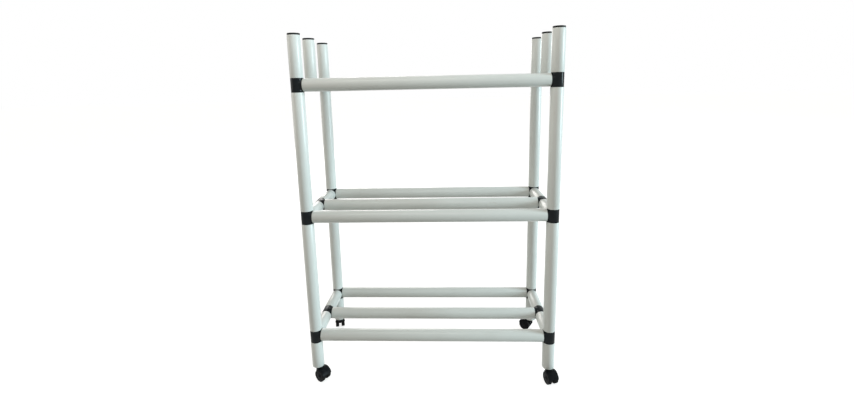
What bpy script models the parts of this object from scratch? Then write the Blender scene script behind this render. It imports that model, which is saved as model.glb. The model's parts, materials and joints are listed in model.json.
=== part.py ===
import math

import bmesh
import bpy
from mathutils import Matrix, Vector

# Rack, in metres. The front is at -Y, and the floor is at Z = 0.
POST_SPACING_X = 0.982
POST_SPACING_Y = 0.370
SHELF_SPACING = 0.5235
FOOT_HEIGHT = 0.142
RISER_HEIGHT = 0.1845
CENTRE_ROW_SHIFT = 0.012    # the row in the middle stands this much nearer the front
LEVELS = ("lower", "middle", "upper")

# Pipe. Where a connector's collar sits flush, the pipe is necked and an inner sleeve backs it.
PIPE_DIAMETER = 0.050
PIPE_WALL = 0.0025
NECK_DIAMETER = 0.0446
SLEEVE_BORE = 0.0375
SLEEVE_LENGTH = 0.110
SEAT_GAP = 0.0003

# Moulded connectors: a collar round the neck, and hollow branches that end in spigots
COLLAR_DIAMETER = 0.0486
COLLAR_LENGTH = 0.054
BRANCH_DIAMETER = 0.0472
SPIGOT_LENGTH = 0.035
SPIGOT_WALL = 0.004

# Caps on the open pipe ends
CAP_DIAMETER = 0.0475
CAP_THICKNESS = 0.0065
CAP_PLUG_LENGTH = 0.014

# Bush in the foot of each post, and the caster stem that turns in it
BUSH_LENGTH = 0.045
STEM_DIAMETER = 0.010
STEM_IN_BUSH = 0.034
STEM_SHOULDER_DIAMETER = 0.018
STEM_SHOULDER_HEIGHT = 0.0044

# Twin-wheel casters
WHEEL_DIAMETER = 0.052
WHEEL_WIDTH = 0.0165
WHEEL_RIM_WIDTH = 0.0065
WHEEL_HUB_DIAMETER = 0.017
WHEEL_DISH_DEPTH = 0.001
WHEEL_HOLLOW_DEPTH = 0.005
TREAD_ROUNDING = 0.003
TRAIL = 0.025
WEB_THICKNESS = 0.011
WHEEL_SIDE_CLEARANCE = 0.0005
HOOD_CLEARANCE = 0.0012
HOOD_THICKNESS = 0.0018
HOOD_REAR_ANGLE = math.radians(10)
HOOD_FRONT_ANGLE = math.radians(130)
AXLE_DIAMETER = 0.006
AXLE_HEAD_DIAMETER = 0.010
AXLE_HEAD_THICKNESS = 0.002
AXLE_BOSS_RADIUS = 0.009
STEM_BOSS_DIAMETER = 0.022
STEM_BOSS_HEIGHT = 0.0555

# Way that each caster trails from its stem, turned from +X about +Z
CASTER_TURNS = {
    "front_left": math.radians(-33),
    "front_right": math.radians(-74),
    "back_right": math.radians(147),
    "back_left": math.radians(106),
}

# Facets. Bores and spigots of pipes at right angles line up only if PIPE_SIDES is a multiple of four.
PIPE_SIDES = 16
CORE_SIDES = 8
WHEEL_SIDES = 20
PIN_SIDES = 12
HOOD_STEPS = 8

# Heights, radii and half widths that follow from the sizes above
PIPE_BOTTOM = STEM_BOSS_HEIGHT + STEM_SHOULDER_HEIGHT + SEAT_GAP
SHELF_HEIGHTS = [PIPE_BOTTOM + FOOT_HEIGHT + i * SHELF_SPACING for i in range(len(LEVELS))]
PIPE_TOP = SHELF_HEIGHTS[-1] + RISER_HEIGHT
HALF_X = POST_SPACING_X / 2
HALF_Y = POST_SPACING_Y / 2
CENTRE_Y = -CENTRE_ROW_SHIFT
PIPE_RADIUS = PIPE_DIAMETER / 2
BORE_RADIUS = PIPE_RADIUS - PIPE_WALL
FACET_GAP = SEAT_GAP / math.cos(math.pi / PIPE_SIDES)
RAIL_END = PIPE_RADIUS + SEAT_GAP
AXLE_HEIGHT = WHEEL_DIAMETER / 2
WHEEL_INNER = WEB_THICKNESS / 2 + WHEEL_SIDE_CLEARANCE
WHEEL_OUTER = WHEEL_INNER + WHEEL_WIDTH
CORNERS = {
    "front_left": (-HALF_X, -HALF_Y),
    "front_right": (HALF_X, -HALF_Y),
    "back_right": (HALF_X, HALF_Y),
    "back_left": (-HALF_X, HALF_Y),
}
SIDES = {"left": -HALF_X, "right": HALF_X}


def material(name, color, roughness, metallic=0.0):
    made = bpy.data.materials.new(name)
    made.use_nodes = True
    shader = made.node_tree.nodes["Principled BSDF"]
    shader.inputs["Base Color"].default_value = (*color, 1.0)
    shader.inputs["Roughness"].default_value = roughness
    shader.inputs["Metallic"].default_value = metallic
    made.diffuse_color = (*color, 1.0)
    return made


def bore_radius(pin_diameter, sides):
    """Corner radius of a faceted bore whose flats clear a pin by the seat gap."""
    return (pin_diameter / 2 + SEAT_GAP) / math.cos(math.pi / sides)


def along(direction, start):
    """Matrix that lays a shape made up +Z along a direction, from a start point."""
    turn = Vector((0, 0, 1)).rotation_difference(Vector(direction))
    return Matrix.Translation(start) @ turn.to_matrix().to_4x4()


def rod(start, end, radius, sides):
    """Function that draws a solid round bar into a bmesh."""
    run = Vector(end) - Vector(start)
    place = along(run, Vector(start) + run / 2)

    def draw(bm):
        bmesh.ops.create_cone(
            bm, cap_ends=True, segments=sides, radius1=radius, radius2=radius,
            depth=run.length, matrix=place,
        )

    return draw


def plate(outline, thickness):
    """Function that draws an outline of (x, z) points about the axle, extruded to both sides of it."""
    def draw(bm):
        verts = [bm.verts.new((TRAIL + x, -thickness / 2, AXLE_HEIGHT + z)) for x, z in outline]
        face = bm.faces.new(verts)
        pulled = bmesh.ops.extrude_face_region(bm, geom=[face], use_keep_orig=True)["geom"]
        moved = [item for item in pulled if isinstance(item, bmesh.types.BMVert)]
        bmesh.ops.translate(bm, verts=moved, vec=(0, thickness, 0))

    return draw


def finished_mesh(bm, name):
    """Merges doubles, points the faces out and shades round stretches smooth."""
    bmesh.ops.remove_doubles(bm, verts=bm.verts, dist=1e-6)
    bmesh.ops.recalc_face_normals(bm, faces=bm.faces)
    mesh = bpy.data.meshes.new(name)
    bm.to_mesh(mesh)
    bm.free()
    mesh.shade_smooth()
    mesh.set_sharp_from_angle(angle=math.radians(40))
    return mesh


def turned_mesh(name, profile, sides, place):
    """Turns (radius, height) points about +Z. A profile that starts off the axis is a closed ring."""
    bm = bmesh.new()
    verts = [bm.verts.new(place @ Vector((radius, 0, height))) for radius, height in profile]
    edges = [bm.edges.new(pair) for pair in zip(verts, verts[1:])]
    if profile[0][0] > 0:
        edges.append(bm.edges.new((verts[-1], verts[0])))
    bmesh.ops.spin(
        bm, geom=verts + edges, cent=place.translation, axis=place.to_3x3() @ Vector((0, 0, 1)),
        angle=2 * math.pi, steps=sides, use_merge=True,
    )
    return finished_mesh(bm, name)


def place_object(name, mesh, look, location=(0, 0, 0), turn=0.0, parent=None):
    if not mesh.materials:
        mesh.materials.append(look)
    made = bpy.data.objects.new(name, mesh)
    made.location = location
    made.rotation_euler = (0, 0, turn)
    made.parent = parent
    bpy.context.scene.collection.objects.link(made)
    return made


def boolean_mesh(name, base, joined, cut):
    """Mesh of a base with solids joined to it and then solids cut from it, each drawn by a function."""
    helpers = []
    for draw in (base, *joined, *cut):
        bm = bmesh.new()
        draw(bm)
        helpers.append(place_object(name, finished_mesh(bm, name), None))
    for index, helper in enumerate(helpers[1:]):
        modifier = helpers[0].modifiers.new(helper.name, "BOOLEAN")
        modifier.operation = "UNION" if index < len(joined) else "DIFFERENCE"
        modifier.object = helper
    bpy.context.view_layer.update()
    graph = bpy.context.evaluated_depsgraph_get()
    bm = bmesh.new()
    bm.from_object(helpers[0], graph)
    for helper in helpers:
        bpy.data.objects.remove(helper)
    bmesh.ops.dissolve_degenerate(bm, dist=1e-6, edges=bm.edges)
    return finished_mesh(bm, name)


def pipe_mesh(name, direction, low, high, collars=(), bushed=False):
    """Pipe along a direction, necked at each collar, and with a stem bush in its low end if bushed."""
    neck = NECK_DIAMETER / 2
    half_neck = COLLAR_LENGTH / 2 + SEAT_GAP
    half_sleeve = SLEEVE_LENGTH / 2
    outer = [(PIPE_RADIUS, low)]
    inner = [(BORE_RADIUS, low)]
    if bushed:
        stem_bore = bore_radius(STEM_DIAMETER, PIPE_SIDES)
        inner = [(stem_bore, low), (stem_bore, low + BUSH_LENGTH), (BORE_RADIUS, low + BUSH_LENGTH)]
    for middle in collars:
        outer += [(PIPE_RADIUS, middle - half_neck), (neck, middle - half_neck)]
        outer += [(neck, middle + half_neck), (PIPE_RADIUS, middle + half_neck)]
        inner += [(BORE_RADIUS, middle - half_sleeve), (SLEEVE_BORE / 2, middle - half_sleeve)]
        inner += [(SLEEVE_BORE / 2, middle + half_sleeve), (BORE_RADIUS, middle + half_sleeve)]
    outer.append((PIPE_RADIUS, high))
    inner.append((BORE_RADIUS, high))
    return turned_mesh(name, outer + inner[::-1], PIPE_SIDES, along(direction, (0, 0, 0)))


def make_posts(look):
    post = pipe_mesh("post", (0, 0, 1), PIPE_BOTTOM, PIPE_TOP, SHELF_HEIGHTS, bushed=True)
    for name, (x, y) in CORNERS.items():
        place_object(f"{name}_post", post, look, (x, y, 0))
    riser = pipe_mesh("riser", (0, 0, 1), SHELF_HEIGHTS[-1] + RAIL_END, PIPE_TOP)
    for side, x in SIDES.items():
        place_object(f"{side}_riser", riser, look, (x, CENTRE_Y, 0))


def make_rails(look):
    """Each shelf has three rails from left to right, and a side rail necked for its tee on each side."""
    reach_x = HALF_X - RAIL_END
    reach_y = HALF_Y - RAIL_END
    cross_rail = pipe_mesh("cross_rail", (1, 0, 0), -reach_x, reach_x)
    side_rail = pipe_mesh("side_rail", (0, 1, 0), -reach_y, reach_y, [CENTRE_Y])
    for level, z in zip(LEVELS, SHELF_HEIGHTS):
        for row, y in (("front", -HALF_Y), ("centre", CENTRE_Y), ("back", HALF_Y)):
            place_object(f"{level}_{row}_rail", cross_rail, look, (0, y, z))
        for side, x in SIDES.items():
            place_object(f"{level}_{side}_side_rail", side_rail, look, (x, 0, z))


def connector_mesh(name, through, branches):
    """A collar round a pipe's neck, with a hollow branch and spigot in each direction given."""
    through = Vector(through)
    half = through * COLLAR_LENGTH / 2
    spigot_radius = BORE_RADIUS - FACET_GAP
    tip = PIPE_RADIUS + SPIGOT_LENGTH
    joined = []
    cut = [rod(-2 * half, 2 * half, NECK_DIAMETER / 2 + FACET_GAP, PIPE_SIDES)]
    for direction in map(Vector, branches):
        joined.append(rod((0, 0, 0), direction * PIPE_RADIUS, BRANCH_DIAMETER / 2, PIPE_SIDES))
        joined.append(rod((0, 0, 0), direction * tip, spigot_radius, PIPE_SIDES))
        core_radius = spigot_radius - SPIGOT_WALL
        cut.append(rod((0, 0, 0), direction * (tip + SPIGOT_WALL), core_radius, CORE_SIDES))
    collar = rod(-half, half, COLLAR_DIAMETER / 2, PIPE_SIDES)
    return boolean_mesh(name, collar, joined, cut)


def make_connectors(look):
    corner = connector_mesh("corner_connector", (0, 0, 1), [(1, 0, 0), (0, 1, 0)])
    side_tee = connector_mesh("side_connector", (0, 1, 0), [(1, 0, 0)])
    riser_tee = connector_mesh("riser_connector", (0, 1, 0), [(1, 0, 0), (0, 0, 1)])
    for level, z in zip(LEVELS, SHELF_HEIGHTS):
        for quarter, (corner_name, (x, y)) in enumerate(CORNERS.items()):
            place_object(f"{level}_{corner_name}_connector", corner, look, (x, y, z), quarter * math.pi / 2)
        side_mesh = riser_tee if level == LEVELS[-1] else side_tee
        for half_turn, (side, x) in enumerate(SIDES.items()):
            spot = (x, CENTRE_Y, z)
            place_object(f"{level}_{side}_side_connector", side_mesh, look, spot, half_turn * math.pi)


def make_caps(look):
    """Each cap is a flat disc on a pipe's end, with a plug in the bore."""
    plug_radius = BORE_RADIUS - FACET_GAP
    profile = [
        (0, -CAP_PLUG_LENGTH),
        (plug_radius, -CAP_PLUG_LENGTH),
        (plug_radius, 0),
        (CAP_DIAMETER / 2, 0),
        (CAP_DIAMETER / 2, CAP_THICKNESS),
        (0, CAP_THICKNESS),
    ]
    cap = turned_mesh("cap", profile, PIPE_SIDES, Matrix())
    tops = {f"{name}_post": spot for name, spot in CORNERS.items()}
    tops |= {f"{side}_riser": (x, CENTRE_Y) for side, x in SIDES.items()}
    for name, (x, y) in tops.items():
        place_object(f"{name}_cap", cap, look, (x, y, PIPE_TOP + SEAT_GAP))


def arc(radius, start, end, steps):
    angles = [start + (end - start) * i / steps for i in range(steps + 1)]
    return [(radius * math.cos(angle), radius * math.sin(angle)) for angle in angles]


def housing_mesh():
    """Moulding with a web between the wheels, a hood over them, a stem and an axle for both wheels."""
    space = WHEEL_DIAMETER / 2 + HOOD_CLEARANCE
    boss_edge = STEM_BOSS_DIAMETER * 0.35
    web = arc(space + HOOD_THICKNESS / 2, HOOD_REAR_ANGLE, HOOD_FRONT_ANGLE, HOOD_STEPS)
    web += [(-TRAIL - boss_edge, web[-1][1]), (-TRAIL - boss_edge, AXLE_BOSS_RADIUS)]
    web += arc(AXLE_BOSS_RADIUS, math.radians(225), math.radians(315), 3)
    hood = arc(space + HOOD_THICKNESS, HOOD_REAR_ANGLE, HOOD_FRONT_ANGLE, HOOD_STEPS)
    hood += arc(space - HOOD_THICKNESS, HOOD_FRONT_ANGLE, HOOD_REAR_ANGLE, HOOD_STEPS)
    boss_low = (0, 0, AXLE_HEIGHT + AXLE_BOSS_RADIUS)
    boss_top = (0, 0, STEM_BOSS_HEIGHT)
    shoulder_top = (0, 0, PIPE_BOTTOM - SEAT_GAP)
    stem_top = (0, 0, PIPE_BOTTOM + STEM_IN_BUSH)
    in_boss = (0, 0, STEM_BOSS_HEIGHT - STEM_BOSS_DIAMETER / 4)
    head_seat = WHEEL_OUTER + SEAT_GAP
    head_end = head_seat + AXLE_HEAD_THICKNESS
    axle_end = head_seat + AXLE_HEAD_THICKNESS / 2

    def on_axle(y):
        return (TRAIL, y, AXLE_HEIGHT)

    wheel_spaces = [
        rod(on_axle(way * WEB_THICKNESS / 2), on_axle(way * 2 * WHEEL_OUTER), space, 2 * WHEEL_SIDES)
        for way in (-1, 1)
    ]
    shell = boolean_mesh(
        "housing_shell",
        plate(web, WEB_THICKNESS),
        [plate(hood, 2 * WHEEL_OUTER), rod(boss_low, boss_top, STEM_BOSS_DIAMETER / 2, PIN_SIDES)],
        wheel_spaces,
    )
    return boolean_mesh(
        "caster_housing",
        lambda bm: bm.from_mesh(shell),
        [
            rod(in_boss, shoulder_top, STEM_SHOULDER_DIAMETER / 2, PIN_SIDES),
            rod(in_boss, stem_top, STEM_DIAMETER / 2, PIN_SIDES),
            rod(on_axle(-axle_end), on_axle(axle_end), AXLE_DIAMETER / 2, PIN_SIDES),
            rod(on_axle(-head_end), on_axle(-head_seat), AXLE_HEAD_DIAMETER / 2, PIN_SIDES),
            rod(on_axle(head_seat), on_axle(head_end), AXLE_HEAD_DIAMETER / 2, PIN_SIDES),
        ],
        [],
    )


def wheel_mesh(way):
    """Wheel with a shallow dish in its outer face and a deeper hollow on the web's side."""
    bore = bore_radius(AXLE_DIAMETER, WHEEL_SIDES)
    hub = WHEEL_HUB_DIAMETER / 2
    tread = WHEEL_DIAMETER / 2
    rim = tread - WHEEL_RIM_WIDTH
    hollow = WHEEL_INNER + WHEEL_HOLLOW_DEPTH
    dish = WHEEL_OUTER - WHEEL_DISH_DEPTH
    profile = [(bore, WHEEL_INNER), (hub, WHEEL_INNER), (hub, hollow), (rim, hollow), (rim, WHEEL_INNER)]
    profile += [(tread - TREAD_ROUNDING, WHEEL_INNER), (tread, WHEEL_INNER + TREAD_ROUNDING)]
    profile += [(tread, WHEEL_OUTER - TREAD_ROUNDING), (tread - TREAD_ROUNDING, WHEEL_OUTER)]
    profile += [(rim, WHEEL_OUTER), (rim, dish), (hub, dish), (hub, WHEEL_OUTER), (bore, WHEEL_OUTER)]
    return turned_mesh("caster_wheel", profile, WHEEL_SIDES, along((0, way, 0), (0, 0, 0)))


def make_casters(housing_look, wheel_look):
    """Each housing turns on its stem, and each wheel turns on the axle, which trails the stem."""
    housing = housing_mesh()
    wheels = {"left": wheel_mesh(-1), "right": wheel_mesh(1)}
    for name, (x, y) in CORNERS.items():
        body = place_object(f"{name}_caster_housing", housing, housing_look, (x, y, 0), CASTER_TURNS[name])
        for side, mesh in wheels.items():
            centre = (TRAIL, 0, AXLE_HEIGHT)
            place_object(f"{name}_caster_{side}_wheel", mesh, wheel_look, centre, parent=body)


def main():
    for thing in list(bpy.data.objects):
        bpy.data.objects.remove(thing)
    pipe_look = material("white_pipe", (0.82, 0.83, 0.81), 0.35)
    fitting_look = material("black_fitting", (0.018, 0.019, 0.021), 0.42)
    housing_look = material("caster_housing", (0.014, 0.015, 0.017), 0.38)
    wheel_look = material("caster_wheel", (0.022, 0.023, 0.025), 0.5)
    make_posts(pipe_look)
    make_rails(pipe_look)
    make_connectors(fitting_look)
    make_caps(fitting_look)
    make_casters(housing_look, wheel_look)


main()
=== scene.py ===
import json
import math

import bmesh
import bpy
from mathutils import Euler, Matrix, Vector


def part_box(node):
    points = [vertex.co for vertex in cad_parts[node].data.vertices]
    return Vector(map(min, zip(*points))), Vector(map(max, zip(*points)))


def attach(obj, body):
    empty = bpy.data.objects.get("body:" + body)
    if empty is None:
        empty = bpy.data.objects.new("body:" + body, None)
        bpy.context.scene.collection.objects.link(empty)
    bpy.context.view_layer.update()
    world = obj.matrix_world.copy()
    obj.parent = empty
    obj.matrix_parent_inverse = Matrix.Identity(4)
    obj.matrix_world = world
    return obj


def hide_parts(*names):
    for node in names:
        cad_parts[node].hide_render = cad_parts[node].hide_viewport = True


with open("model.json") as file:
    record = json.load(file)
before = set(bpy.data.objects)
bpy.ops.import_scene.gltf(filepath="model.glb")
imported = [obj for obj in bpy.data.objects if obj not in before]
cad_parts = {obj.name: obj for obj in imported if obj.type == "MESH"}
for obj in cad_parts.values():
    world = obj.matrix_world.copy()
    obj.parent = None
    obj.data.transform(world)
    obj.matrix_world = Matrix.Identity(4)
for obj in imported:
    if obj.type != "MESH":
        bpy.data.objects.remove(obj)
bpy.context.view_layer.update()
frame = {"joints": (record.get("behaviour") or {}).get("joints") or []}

print("frame loaded")

across, deep, upright = (1, 0, 0), (0, 1, 0), (0, 0, 1)    # left to right, front to back, up
sameSpot = 1e-6    # metres within which points are merged


def longAxis(node):
    # where a pipe's centre line starts, the way it runs, and its length
    low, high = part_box(node)
    size = high - low
    index = max(range(3), key=lambda i: size[i])
    start = (low + high) / 2
    start[index] = low[index]
    way = Vector((0, 0, 0))
    way[index] = 1
    return start, way, size[index]


def layAlong(way, start=(0, 0, 0)):
    # lays a shape that was made up +Z along another way
    turn = Vector(upright).rotation_difference(Vector(way))
    return Matrix.Translation(start) @ turn.to_matrix().to_4x4()


def arcPoints(radius, start, end, steps, centre=(0, 0)):
    angles = [math.radians(start + (end - start) * i / steps) for i in range(steps + 1)]
    return [(centre[0] + radius * math.cos(a), centre[1] + radius * math.sin(a)) for a in angles]


def spunShape(profile, steps):
    # (radius, height) points turned round +Z; a profile that starts off the axis is a closed ring
    bm = bmesh.new()
    verts = [bm.verts.new((radius, 0, height)) for radius, height in profile]
    edges = [bm.edges.new(pair) for pair in zip(verts, verts[1:])]
    if profile[0][0] > sameSpot:
        edges.append(bm.edges.new((verts[-1], verts[0])))
    bmesh.ops.spin(bm, geom=verts + edges, cent=(0, 0, 0), axis=upright,
                   angle=2 * math.pi, steps=steps, use_merge=True)
    bmesh.ops.remove_doubles(bm, verts=bm.verts, dist=sameSpot)
    bmesh.ops.recalc_face_normals(bm, faces=bm.faces)
    return bm


def roundEdges(bm, width, segments=3, sharperThan=50, keep=None):
    # rounds the outer corners that are sharper than an angle
    edges = [e for e in bm.edges if len(e.link_faces) == 2
             and e.calc_face_angle_signed() > math.radians(sharperThan)
             and (keep is None or keep(e))]
    bmesh.ops.bevel(bm, geom=edges, offset=width, segments=segments, profile=0.5,
                    affect="EDGES", clamp_overlap=True, material=-1)
    return bm


def higherThan(height):
    return lambda edge: min(vert.co.z for vert in edge.verts) > height


def toMesh(bm, name, place=None, smoothTo=35):
    if place is not None:
        bmesh.ops.transform(bm, matrix=place, verts=bm.verts)
    mesh = bpy.data.meshes.new(name)
    bm.to_mesh(mesh)
    bm.free()
    mesh.shade_smooth()
    mesh.set_sharp_from_angle(angle=math.radians(smoothTo))
    return mesh


def addPiece(name, mesh, materials, body, node):
    piece = bpy.data.objects.new(name, mesh)
    bpy.context.scene.collection.objects.link(piece)
    for material in materials:
        piece.data.materials.append(material)
    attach(piece, body)
    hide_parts(node)


def placedCopy(mesh, name, place):
    made = mesh.copy()
    made.name = name
    made.transform(place)
    made.update()
    return made


def joinAndCut(base, joined, cut):
    # boolean of bmesh shapes, worked out and left as a plain bmesh
    helpers = []
    for bm in (base, *joined, *cut):
        helper = bpy.data.objects.new("helper", toMesh(bm, "helper"))
        bpy.context.scene.collection.objects.link(helper)
        helpers.append(helper)
    for index, helper in enumerate(helpers[1:]):
        step = helpers[0].modifiers.new("step", "BOOLEAN")
        step.operation = "UNION" if index < len(joined) else "DIFFERENCE"
        step.solver = "EXACT"
        step.object = helper
    bpy.context.view_layer.update()
    bm = bmesh.new()
    bm.from_object(helpers[0], bpy.context.evaluated_depsgraph_get())
    for helper in helpers:
        bpy.data.objects.remove(helper)
    bmesh.ops.dissolve_degenerate(bm, dist=sameSpot, edges=bm.edges)
    bmesh.ops.recalc_face_normals(bm, faces=bm.faces)
    return bm


def rodShape(radius, low, high, steps, way=upright):
    bm = bmesh.new()
    place = layAlong(way, Vector(way) * (low + high) / 2)
    bmesh.ops.create_cone(bm, cap_ends=True, segments=steps, radius1=radius,
                          radius2=radius, depth=high - low, matrix=place)
    return bm


pipeFinish = {
    "colour": (0.745, 0.78, 0.765),
    "shade": (0.72, 0.755, 0.74),      # extrusion streaks
    "handled": (0.62, 0.63, 0.59),     # faint grime from use
    "scuffColour": (0.66, 0.65, 0.62),
    "roughness": (0.28, 0.34),
    "specular": 0.5,
    "streaks": 150,                    # pattern scale to a metre, round the pipe
    "streakDetail": 4.0,
    "streakStretch": 0.012,            # share of that scale along the pipe
    "streakTone": (0.38, 0.68),
    "streakGloss": (0.3, 0.7),
    "grime": 7,
    "grimeDetail": 5.0,
    "grimeFrom": (0.5, 0.78),
    "grimeAmount": 0.18,
    "scuffs": 95,
    "scuffDetail": 2.0,
    "scuffStretch": 0.25,
    "scuffFrom": (0.68, 0.74),
    "scuffAmount": 0.4,
    "bump": 0.02,
    "bumpDepth": 0.0006,
}
mouldedPattern = {                     # the same for all the moulded pieces
    "grainDetail": 2.0,
    "bumpDepth": 0.0003,
    "patches": 45,
    "patchDetail": 4.0,
    "patchTone": (0.4, 0.7),
    "patchGloss": (0.35, 0.7),
}
fittingFinish = {
    "colour": (0.005, 0.008, 0.010),
    "shade": (0.009, 0.012, 0.014),
    "roughness": (0.34, 0.46),
    "grain": 1500,
    "bump": 0.08,
    "specular": 0.03,
    "gloss": 0.20,          # clear gloss on top, left out of a finish without it
    "glossRoughness": 0.08,
}
capFinish = {
    "colour": (0.006, 0.007, 0.007),
    "shade": (0.012, 0.013, 0.013),
    "roughness": (0.34, 0.48),
    "grain": 1500,
    "bump": 0.08,
    "specular": 0.10,
}
housingFinish = {
    "colour": (0.006, 0.007, 0.009),
    "shade": (0.011, 0.012, 0.014),
    "roughness": (0.30, 0.44),
    "grain": 1900,
    "bump": 0.08,
    "specular": 0.05,
}
wheelFinish = {
    "colour": (0.006, 0.007, 0.009),
    "shade": (0.012, 0.013, 0.015),
    "roughness": (0.34, 0.50),
    "grain": 1300,
    "bump": 0.10,
    "specular": 0.05,
}
treadFinish = {
    "colour": (0.008, 0.008, 0.009),
    "shade": (0.022, 0.021, 0.020),    # floor dust in the tread
    "roughness": (0.5, 0.7),
    "grain": 700,
    "bump": 0.2,
    "specular": 0.05,
}


def startMaterial(name):
    material = bpy.data.materials.new(name)
    material.use_nodes = True
    nodes = material.node_tree.nodes
    shader = nodes["Principled BSDF"]
    coords = nodes.new("ShaderNodeTexCoord")
    return material, nodes, material.node_tree.links, shader, coords


def addNoise(nodes, links, coords, scale, detail=3.0, stretch=(1, 1, 1)):
    mapping = nodes.new("ShaderNodeMapping")
    mapping.inputs["Scale"].default_value = [scale * part for part in stretch]
    noise = nodes.new("ShaderNodeTexNoise")
    noise.inputs["Scale"].default_value = 1.0
    noise.inputs["Detail"].default_value = detail
    links.new(coords.outputs["Object"], mapping.inputs["Vector"])
    links.new(mapping.outputs["Vector"], noise.inputs["Vector"])
    return noise.outputs["Fac"]


def remap(nodes, links, value, fromLow, fromHigh, toLow=0.0, toHigh=1.0):
    node = nodes.new("ShaderNodeMapRange")
    for socket, number in (("From Min", fromLow), ("From Max", fromHigh),
                           ("To Min", toLow), ("To Max", toHigh)):
        node.inputs[socket].default_value = number
    links.new(value, node.inputs["Value"])
    return node.outputs["Result"]


def mixColour(nodes, links, factor, first, second):
    mix = nodes.new("ShaderNodeMix")
    mix.data_type = "RGBA"
    links.new(factor, mix.inputs[0])
    for socket, colour in ((mix.inputs[6], first), (mix.inputs[7], second)):
        if isinstance(colour, tuple):
            socket.default_value = (*colour, 1)
        else:
            links.new(colour, socket)
    return mix.outputs[2]


def addBump(nodes, links, shader, height, strength, distance):
    bump = nodes.new("ShaderNodeBump")
    bump.inputs["Strength"].default_value = strength
    bump.inputs["Distance"].default_value = distance
    links.new(height, bump.inputs["Height"])
    links.new(bump.outputs["Normal"], shader.inputs["Normal"])


def pipeMaterial(name, way):
    # drawn pipe: streaks run along it, with faint grime and light scuffs
    f = pipeFinish
    material, nodes, links, shader, coords = startMaterial(name)
    streakScale = tuple(f["streakStretch"] if part else 1.0 for part in way)
    scuffScale = tuple(f["scuffStretch"] if part else 1.0 for part in way)
    streaks = addNoise(nodes, links, coords, f["streaks"], f["streakDetail"], streakScale)
    tone = remap(nodes, links, streaks, *f["streakTone"])
    clouds = addNoise(nodes, links, coords, f["grime"], f["grimeDetail"])
    grime = remap(nodes, links, clouds, *f["grimeFrom"], 0.0, f["grimeAmount"])
    scuffLines = addNoise(nodes, links, coords, f["scuffs"], f["scuffDetail"], scuffScale)
    scuffs = remap(nodes, links, scuffLines, *f["scuffFrom"], 0.0, f["scuffAmount"])
    drawn = mixColour(nodes, links, tone, f["colour"], f["shade"])
    used = mixColour(nodes, links, grime, drawn, f["handled"])
    scuffed = mixColour(nodes, links, scuffs, used, f["scuffColour"])
    links.new(scuffed, shader.inputs["Base Color"])
    roughness = remap(nodes, links, streaks, *f["streakGloss"], *f["roughness"])
    links.new(roughness, shader.inputs["Roughness"])
    addBump(nodes, links, shader, streaks, f["bump"], f["bumpDepth"])
    shader.inputs["Specular IOR Level"].default_value = f["specular"]
    material.diffuse_color = (*f["colour"], 1)
    return material


def mouldedMaterial(name, f):
    # moulded plastic: spark grain, with slight changes of tone and gloss
    p = mouldedPattern
    material, nodes, links, shader, coords = startMaterial(name)
    grain = addNoise(nodes, links, coords, f["grain"], p["grainDetail"])
    patches = addNoise(nodes, links, coords, p["patches"], p["patchDetail"])
    tone = remap(nodes, links, patches, *p["patchTone"])
    colour = mixColour(nodes, links, tone, f["colour"], f["shade"])
    links.new(colour, shader.inputs["Base Color"])
    roughness = remap(nodes, links, patches, *p["patchGloss"], *f["roughness"])
    links.new(roughness, shader.inputs["Roughness"])
    addBump(nodes, links, shader, grain, f["bump"], p["bumpDepth"])
    shader.inputs["Specular IOR Level"].default_value = f["specular"]
    if "gloss" in f:
        shader.inputs["Coat Weight"].default_value = f["gloss"]
        shader.inputs["Coat Roughness"].default_value = f["glossRoughness"]
    material.diffuse_color = (*f["colour"], 1)
    return material


pipeLooks = {
    across: pipeMaterial("whitePipeAcross", across),
    deep: pipeMaterial("whitePipeDeep", deep),
    upright: pipeMaterial("whitePipeUpright", upright),
}
fittingLook = mouldedMaterial("blackFitting", fittingFinish)
capLook = mouldedMaterial("blackCap", capFinish)
housingLook = mouldedMaterial("blackHousing", housingFinish)
wheelLook = mouldedMaterial("blackWheel", wheelFinish)
treadLook = mouldedMaterial("wheelTread", treadFinish)
print("finishes made")


pipe = {
    "wall": 0.0025,
    "sawnEdge": 0.0006,
    "sawnSegments": 2,
    "neckRadius": 0.0223,       # under a connector's collar
    "neckLength": 0.0546,
    "sleeveRadius": 0.01875,    # the bore of the sleeve that backs the neck
    "sleeveLength": 0.110,
    "bushRadius": 0.0054,       # the bore for the caster's stem
    "bushLength": 0.045,
    "steps": 96,
}
levels = ("lower", "middle", "upper")
rows = ("front", "centre", "back")
corners = ("front_left", "front_right", "back_right", "back_left")
sides = ("left", "right")
shelfHeights = [sum(end.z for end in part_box(f"{level}_front_rail")) / 2 for level in levels]
centreRow = sum(end.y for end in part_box("lower_centre_rail")) / 2


def pipeShape(length, radius, collars, bushed):
    # a tube, necked under each collar, with a sleeve inside there and a bush at a post's foot
    p = pipe
    bore = radius - p["wall"]
    halfNeck = p["neckLength"] / 2
    halfSleeve = p["sleeveLength"] / 2
    outer = [(radius, 0)]
    inner = [(bore, 0)]
    if bushed:
        inner = [(p["bushRadius"], 0), (p["bushRadius"], p["bushLength"]), (bore, p["bushLength"])]
    for middle in collars:
        outer += [(radius, middle - halfNeck), (p["neckRadius"], middle - halfNeck)]
        outer += [(p["neckRadius"], middle + halfNeck), (radius, middle + halfNeck)]
        inner += [(bore, middle - halfSleeve), (p["sleeveRadius"], middle - halfSleeve)]
        inner += [(p["sleeveRadius"], middle + halfSleeve), (bore, middle + halfSleeve)]
    outer.append((radius, length))
    inner.append((bore, length))
    bm = spunShape(outer + inner[::-1], p["steps"])
    return roundEdges(bm, p["sawnEdge"], p["sawnSegments"])


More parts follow.
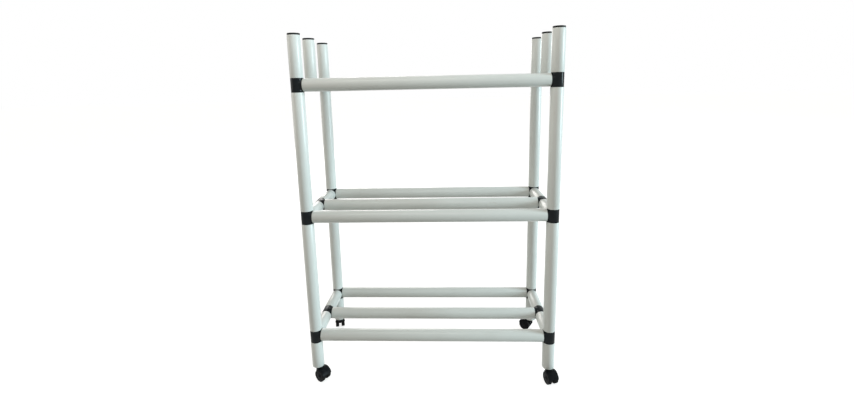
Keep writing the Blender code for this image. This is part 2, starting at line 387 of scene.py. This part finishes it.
def makePipe(node, collars=(), bushed=False):
    start, way, length = longAxis(node)
    low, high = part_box(node)
    radius = sorted(high - low)[1] / 2
    bm = pipeShape(length, radius, collars, bushed)
    mesh = toMesh(bm, node, layAlong(way, start))
    addPiece(f"{node}_pipe", mesh, [pipeLooks[tuple(way)]], "frame", node)


for corner in corners:
    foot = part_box(f"{corner}_post")[0].z
    makePipe(f"{corner}_post", [height - foot for height in shelfHeights], bushed=True)
for side in sides:
    makePipe(f"{side}_riser")
for level in levels:
    for row in rows:
        makePipe(f"{level}_{row}_rail")
    for side in sides:
        node = f"{level}_{side}_side_rail"
        makePipe(node, [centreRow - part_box(node)[0].y])
print("pipes made")


connector = {
    "collarRadius": 0.0243,
    "collarLength": 0.054,
    "boreRadius": 0.0226,
    "boreStock": 0.002,         # what the collar has inside before its bore is cut
    "branchRadius": 0.0236,
    "branchReach": 0.025,
    "branchRoot": 0.001,        # up to here a branch's edges stay sharp, inside the collar
    "spigotRadius": 0.0222,
    "spigotLength": 0.035,
    "spigotWall": 0.004,
    "cutPast": 0.005,           # how far past its tip a spigot's hollow is cut
    "rim": 0.0007,
    "partingRidge": 0.00012,
    "steps": 96,
}


def collarShape(way):
    # the collar has rounded rims and a faint ridge where the mould parts
    c = connector
    half = c["collarLength"] / 2
    inner = c["boreRadius"] - c["boreStock"]
    outer = c["collarRadius"]
    ridge = c["partingRidge"]
    bm = spunShape([(inner, -half), (outer, -half), (outer, -ridge * 2),
                    (outer + ridge, -ridge), (outer + ridge, ridge), (outer, ridge * 2),
                    (outer, half), (inner, half)], c["steps"])
    roundEdges(bm, c["rim"])
    bmesh.ops.transform(bm, matrix=layAlong(way), verts=bm.verts)
    return bm


def branchShape(way):
    # stub that meets the rail's sawn end, with the spigot that goes into the rail
    c = connector
    tip = c["branchReach"] + c["spigotLength"]
    bm = spunShape([(0, 0), (c["branchRadius"], 0), (c["branchRadius"], c["branchReach"]),
                    (c["spigotRadius"], c["branchReach"]), (c["spigotRadius"], tip), (0, tip)],
                   c["steps"])
    roundEdges(bm, c["rim"], keep=higherThan(c["branchRoot"]))
    bmesh.ops.transform(bm, matrix=layAlong(way), verts=bm.verts)
    return bm


def connectorMesh(name, through, branches):
    # a collar round one pipe, with a branch and a hollow spigot for each pipe that meets it
    c = connector
    reach = c["collarLength"]
    core = c["spigotRadius"] - c["spigotWall"]
    tip = c["branchReach"] + c["spigotLength"] + c["cutPast"]
    joined = [branchShape(way) for way in branches]
    cut = [rodShape(c["boreRadius"], -reach, reach, c["steps"], through)]
    cut += [rodShape(core, 0, tip, c["steps"] // 2, way) for way in branches]
    return toMesh(joinAndCut(collarShape(through), joined, cut), name)


def turnedAbout(degrees, spot):
    return Matrix.Translation(spot) @ Matrix.Rotation(math.radians(degrees), 4, "Z")


def postSpot(corner, height):
    low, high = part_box(f"{corner}_post")
    return Vector(((low.x + high.x) / 2, (low.y + high.y) / 2, height))


cornerConnector = connectorMesh("cornerConnector", upright, [across, deep])
sideConnector = connectorMesh("sideConnector", deep, [across])
riserConnector = connectorMesh("riserConnector", deep, [across, upright])
for level, height in zip(levels, shelfHeights):
    for quarter, corner in enumerate(corners):
        node = f"{level}_{corner}_connector"
        place = turnedAbout(90 * quarter, postSpot(corner, height))
        mesh = placedCopy(cornerConnector, node, place)
        addPiece(f"{node}_moulding", mesh, [fittingLook], "frame", node)
    for half, side in enumerate(sides):
        node = f"{level}_{side}_side_connector"
        low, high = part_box(f"{level}_{side}_side_rail")
        place = turnedAbout(180 * half, Vector(((low.x + high.x) / 2, centreRow, height)))
        shape = riserConnector if level == "upper" else sideConnector
        mesh = placedCopy(shape, node, place)
        addPiece(f"{node}_moulding", mesh, [fittingLook], "frame", node)
print("connectors made")


cap = {
    "plugDepth": 0.014,
    "plugRadius": 0.0220,
    "rim": 0.0012,
    "rimSegments": 4,
    "groove": 0.0004,
    "ring": (0.84, 0.82, 0.80),     # outer edge, floor and inner edge, shares of the radius
    "mark": (0.0022, 0.0018),       # the moulding mark's edge and floor
    "sharperThan": 60,
    "steps": 96,
}


def capShape(radius, thickness):
    # a disc with a rounded rim, a shallow ring and a moulding mark in the middle
    plug, depth = cap["plugRadius"], cap["plugDepth"]
    sunk = thickness - cap["groove"]
    ringOut, ringFloor, ringIn = (radius * share for share in cap["ring"])
    markEdge, markFloor = cap["mark"]
    bm = spunShape([(0, -depth), (plug, -depth), (plug, 0), (radius, 0), (radius, thickness),
                    (ringOut, thickness), (ringFloor, sunk), (ringIn, thickness),
                    (markEdge, thickness), (markFloor, sunk), (0, sunk)], cap["steps"])
    return roundEdges(bm, cap["rim"], cap["rimSegments"], cap["sharperThan"],
                      higherThan(thickness / 2))


for owner in [f"{corner}_post" for corner in corners] + [f"{side}_riser" for side in sides]:
    node = f"{owner}_cap"
    low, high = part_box(node)
    spot = Vector(((low.x + high.x) / 2, (low.y + high.y) / 2, low.z + cap["plugDepth"]))
    bm = capShape((high.x - low.x) / 2, high.z - spot.z)
    mesh = toMesh(bm, owner, Matrix.Translation(spot))
    addPiece(f"{node}_disc", mesh, [capLook], "frame", node)
print("caps made")


caster = {
    "wheelRadius": 0.026,
    "wheelInner": 0.006,
    "wheelOuter": 0.0225,
    "trail": 0.025,             # from the stem to the axle
    "webThickness": 0.011,
    "webEdge": 0.0004,
    "webEdgeSegments": 2,
    "hoodGap": 0.0012,
    "hoodWall": 0.0018,
    "hoodFrom": 10,             # degrees about the axle, from the side away from the stem
    "hoodTo": 130,
    "hoodSteps": 48,
    "hoodEdge": 0.0005,
    "bossRadius": 0.011,
    "bossTop": 0.0555,
    "bossEdge": 0.0008,
    "bossShare": 0.7,           # how far out in the boss the web ends
    "shoulderRadius": 0.009,
    "shoulderTop": 0.0599,
    "stemRadius": 0.005,
    "stemTop": 0.0942,
    "stemSunk": 0.004,          # how deep the stem sits in the boss
    "stemEdge": 0.0006,
    "axleRadius": 0.003,
    "axleBoss": 0.009,
    "axleBossArc": (225, 315, 16),    # from, to, steps
    "headRadius": 0.005,
    "headSeat": 0.0228,
    "headEnd": 0.0248,
    "headSide": 0.35,           # the straight share of a head's height
    "headSteps": 6,
    "sharperThan": 60,
    "smoothTo": 30,
    "steps": 96,
}


def plateShape(outline, thickness):
    # outline of (x, z) points about the axle, pulled out to both sides
    c = caster
    bm = bmesh.new()
    verts = [bm.verts.new((c["trail"] + x, -thickness / 2, c["wheelRadius"] + z))
             for x, z in outline]
    face = bm.faces.new(verts)
    pulled = bmesh.ops.extrude_face_region(bm, geom=[face], use_keep_orig=True)["geom"]
    moved = [part for part in pulled if isinstance(part, bmesh.types.BMVert)]
    bmesh.ops.translate(bm, verts=moved, vec=(0, thickness, 0))
    bmesh.ops.recalc_face_normals(bm, faces=bm.faces)
    return bm


def wheelSpace(way):
    # what is cut away under the hood for the wheel on one side
    c = caster
    bm = rodShape(c["wheelRadius"] + c["hoodGap"], c["webThickness"] / 2, 2 * c["wheelOuter"],
                  c["steps"], (0, way, 0))
    bmesh.ops.translate(bm, verts=bm.verts, vec=(c["trail"], 0, c["wheelRadius"]))
    return bm


def housingMesh():
    # web between the wheels, hood over them and boss for the stem
    c = caster
    space = c["wheelRadius"] + c["hoodGap"]
    start, end, steps = c["hoodFrom"], c["hoodTo"], c["hoodSteps"]
    webEnd = -c["trail"] - c["bossRadius"] * c["bossShare"]
    web = arcPoints(space + c["hoodWall"] / 2, start, end, steps)
    web += [(webEnd, web[-1][1]), (webEnd, c["axleBoss"])]
    web += arcPoints(c["axleBoss"], *c["axleBossArc"])
    webShape = plateShape(web, c["webThickness"])
    roundEdges(webShape, c["webEdge"], c["webEdgeSegments"], c["sharperThan"])
    hood = arcPoints(space + c["hoodWall"], start, end, steps)
    hood += arcPoints(space - c["hoodWall"], end, start, steps)
    hoodShape = plateShape(hood, 2 * c["wheelOuter"])
    roundEdges(hoodShape, c["hoodEdge"], sharperThan=c["sharperThan"])
    bossFoot = c["wheelRadius"] + c["axleBoss"]
    boss = rodShape(c["bossRadius"], bossFoot, c["bossTop"], c["steps"] // 2)
    roundEdges(boss, c["bossEdge"])
    bm = joinAndCut(webShape, [hoodShape, boss], [wheelSpace(-1), wheelSpace(1)])
    return toMesh(bm, "housing", smoothTo=c["smoothTo"])


def stemMesh():
    c = caster
    foot = c["bossTop"] - c["stemSunk"]
    bm = spunShape([(0, foot), (c["stemRadius"], foot),
                    (c["stemRadius"], c["bossTop"]), (c["shoulderRadius"], c["bossTop"]),
                    (c["shoulderRadius"], c["shoulderTop"]), (c["stemRadius"], c["shoulderTop"]),
                    (c["stemRadius"], c["stemTop"]), (0, c["stemTop"])], c["steps"] // 2)
    return toMesh(roundEdges(bm, c["stemEdge"]), "stem")


def axleMesh():
    # the heads at both ends are shallow domes
    c = caster
    height = c["headEnd"] - c["headSeat"]
    side = c["headSide"]
    dome = [(c["headRadius"] * x, c["headSeat"] + height * (side + (1 - side) * y))
            for x, y in arcPoints(1, 0, 90, c["headSteps"])]
    half = [(c["axleRadius"], c["headSeat"]), (c["headRadius"], c["headSeat"])]
    half += dome[:-1] + [(0, c["headEnd"])]
    other = [(reach, -y) for reach, y in reversed(half)]
    bm = spunShape(other + half, c["steps"] // 2)
    place = Matrix.Translation((c["trail"], 0, c["wheelRadius"])) @ layAlong(deep)
    return toMesh(bm, "axle", place)


wheel = {
    "shoulder": 0.003,
    "shoulderSteps": 6,
    "rimWidth": 0.0035,
    "rimSlope": 0.0006,
    "dish": 0.0010,
    "hubRadius": 0.0085,
    "hubSlope": 0.0012,
    "hubDish": 0.7,         # the share of the dish that is left beside the hub
    "innerSlope": 0.0008,
    "innerDish": 0.005,
    "bore": 0.0033,
    "treadFrom": 0.6,       # the share of the shoulder that is tread
    "smoothTo": 40,
}


def wheelMesh(way):
    # tread with round shoulders, a dished outer face with a hub, and a hollow inner side
    c = caster
    w = wheel
    radius, inner, outer = c["wheelRadius"], c["wheelInner"], c["wheelOuter"]
    shoulder, steps = w["shoulder"], w["shoulderSteps"]
    hub = w["hubRadius"]
    rim = radius - shoulder - w["rimWidth"]
    profile = [(w["bore"], inner), (hub, inner), (hub, inner + w["innerDish"]),
               (rim, inner + w["innerDish"]), (rim + w["innerSlope"], inner)]
    profile += arcPoints(shoulder, -90, 0, steps, (radius - shoulder, inner + shoulder))
    profile.append((radius, (inner + outer) / 2))
    profile += arcPoints(shoulder, 0, 90, steps, (radius - shoulder, outer - shoulder))
    profile += [(rim, outer), (rim - w["rimSlope"], outer - w["dish"]),
                (hub + w["hubSlope"], outer - w["dish"] * w["hubDish"]),
                (hub, outer), (w["bore"], outer)]
    bm = spunShape(profile, c["steps"])
    for face in bm.faces:
        reach = min(math.hypot(vert.co.x, vert.co.y) for vert in face.verts)
        face.material_index = 1 if reach > radius - shoulder * w["treadFrom"] else 0
    place = Matrix.Translation((c["trail"], 0, radius)) @ layAlong((0, way, 0))
    return toMesh(bm, "wheel", place, w["smoothTo"])


housingParts = {"hood": housingMesh(), "stem": stemMesh(), "axle": axleMesh()}
wheels = {"left": wheelMesh(-1), "right": wheelMesh(1)}
axleWays = {joint["child"]: joint["axis"] for joint in frame["joints"]}
for corner in corners:
    axleWay = axleWays[f"{corner}_left_wheel"]
    turn = math.degrees(math.atan2(-axleWay[0], axleWay[1]))
    place = turnedAbout(turn, postSpot(corner, 0))
    body = f"{corner}_caster"
    node = f"{corner}_caster_housing"
    for part, shape in housingParts.items():
        mesh = placedCopy(shape, part, place)
        addPiece(f"{corner}_caster_{part}", mesh, [housingLook], body, node)
    for side in sides:
        body = f"{corner}_{side}_wheel"
        node = f"{corner}_caster_{side}_wheel"
        mesh = placedCopy(wheels[side], node, place)
        addPiece(f"{node}_moulding", mesh, [wheelLook, treadLook], body, node)
print("casters made")


floor = {
    "size": 40,
    "colour": (0.64, 0.64, 0.64),       # what the camera sees
    "bounce": (0.36, 0.35, 0.32),       # what it throws back at the rack
    "glow": 0.75,                       # makes it white to the camera but for the shadow
    "patches": 3.0,
    "patchTone": (0.3, 0.7),
    "patchDark": 0.97,
    "roughness": 0.9,
    "specular": 0.1,
}
surroundings = {
    "ambient": 0.38,
    "ambientColour": (1.0, 0.955, 0.87),
}
lamps = {
    "key": {"spot": (11.2, -2.4, 2.8), "size": (2.2, 5.2), "power": 1090,
            "colour": (0.74, 0.94, 1.0)},
    "fill": {"spot": (-7.0, -0.5, 2.0), "size": (3.0, 3.0), "power": 70,
             "colour": (1.0, 0.96, 0.90)},
    "back": {"spot": (-2.0, 7.0, 3.0), "size": (4.0, 3.0), "power": 150,
             "colour": (1.0, 0.98, 0.95)},
    "top": {"spot": (-0.3, -1.1, 2.35), "size": (1.9, 1.1), "power": 9,
            "colour": (1.0, 0.95, 0.88)},
}
lampAim = (0, 0, 0.75)


def whiteForCamera(nodes, links):
    # 1 on the rays that look straight at something, or see it mirrored or through glass
    light = nodes.new("ShaderNodeLightPath")
    seen = light.outputs["Is Camera Ray"]
    for kind in ("Is Glossy Ray", "Is Transmission Ray"):
        both = nodes.new("ShaderNodeMath")
        both.operation = "MAXIMUM"
        links.new(seen, both.inputs[0])
        links.new(light.outputs[kind], both.inputs[1])
        seen = both.outputs[0]
    return seen


def addFloor():
    # white to the camera but for the rack's shadow
    bm = bmesh.new()
    bmesh.ops.create_grid(bm, x_segments=1, y_segments=1, size=floor["size"])
    ground = bpy.data.objects.new("floor", toMesh(bm, "floor"))
    bpy.context.scene.collection.objects.link(ground)
    material, nodes, links, shader, coords = startMaterial("paleFloor")
    seen = whiteForCamera(nodes, links)
    patches = addNoise(nodes, links, coords, floor["patches"])
    tone = remap(nodes, links, patches, *floor["patchTone"])
    dark = tuple(floor["patchDark"] * part for part in floor["colour"])
    pale = mixColour(nodes, links, tone, floor["colour"], dark)
    lit = mixColour(nodes, links, seen, floor["bounce"], pale)
    links.new(lit, shader.inputs["Base Color"])
    shader.inputs["Roughness"].default_value = floor["roughness"]
    shader.inputs["Specular IOR Level"].default_value = floor["specular"]
    glow = nodes.new("ShaderNodeMath")
    glow.operation = "MULTIPLY"
    glow.inputs[1].default_value = floor["glow"]
    links.new(seen, glow.inputs[0])
    shader.inputs["Emission Color"].default_value = (1, 1, 1, 1)
    links.new(glow.outputs[0], shader.inputs["Emission Strength"])
    ground.data.materials.append(material)


def addWorld():
    # white behind the rack, for the camera and for reflections; plain soft light otherwise
    world = bpy.data.worlds.new("studio")
    world.use_nodes = True
    bpy.context.scene.world = world
    nodes, links = world.node_tree.nodes, world.node_tree.links
    ambient = nodes["Background"]
    ambient.inputs["Color"].default_value = (*surroundings["ambientColour"], 1)
    ambient.inputs["Strength"].default_value = surroundings["ambient"]
    white = nodes.new("ShaderNodeBackground")
    white.inputs["Color"].default_value = (1, 1, 1, 1)
    blend = nodes.new("ShaderNodeMixShader")
    links.new(whiteForCamera(nodes, links), blend.inputs[0])
    links.new(ambient.outputs[0], blend.inputs[1])
    links.new(white.outputs[0], blend.inputs[2])
    links.new(blend.outputs[0], nodes["World Output"].inputs["Surface"])


def addLamp(name, values):
    lamp = bpy.data.lights.new(name, "AREA")
    lamp.shape = "RECTANGLE"
    lamp.size, lamp.size_y = values["size"]
    lamp.energy = values["power"]
    lamp.color = values["colour"]
    lampObject = bpy.data.objects.new(name, lamp)
    lampObject.location = values["spot"]
    aim = Vector(lampAim) - Vector(values["spot"])
    lampObject.rotation_euler = aim.to_track_quat("-Z", "Y").to_euler()
    bpy.context.scene.collection.objects.link(lampObject)


view = {                                # fitted to the photograph's edges
    "spot": (0.0767, -1.7848, 1.2372),
    "turn": (1.38927, 0.02124, 0.04042),
    "lens": 17.593,
    "sensor": 36,
    "shift": (-0.0021, -0.05),
    "clipStart": 0.02,
}


def addCamera():
    camera = bpy.data.cameras.new("camera")
    camera.sensor_width = view["sensor"]
    camera.sensor_fit = "HORIZONTAL"
    camera.lens = view["lens"]
    camera.shift_x, camera.shift_y = view["shift"]
    camera.clip_start = view["clipStart"]
    cameraObject = bpy.data.objects.new("camera", camera)
    cameraObject.location = view["spot"]
    cameraObject.rotation_euler = Euler(view["turn"])
    bpy.context.scene.collection.objects.link(cameraObject)
    bpy.context.scene.camera = cameraObject


addFloor()
addWorld()
for name, values in lamps.items():
    addLamp(name, values)
addCamera()
bpy.context.scene.view_settings.view_transform = "Standard"
print("studio made")
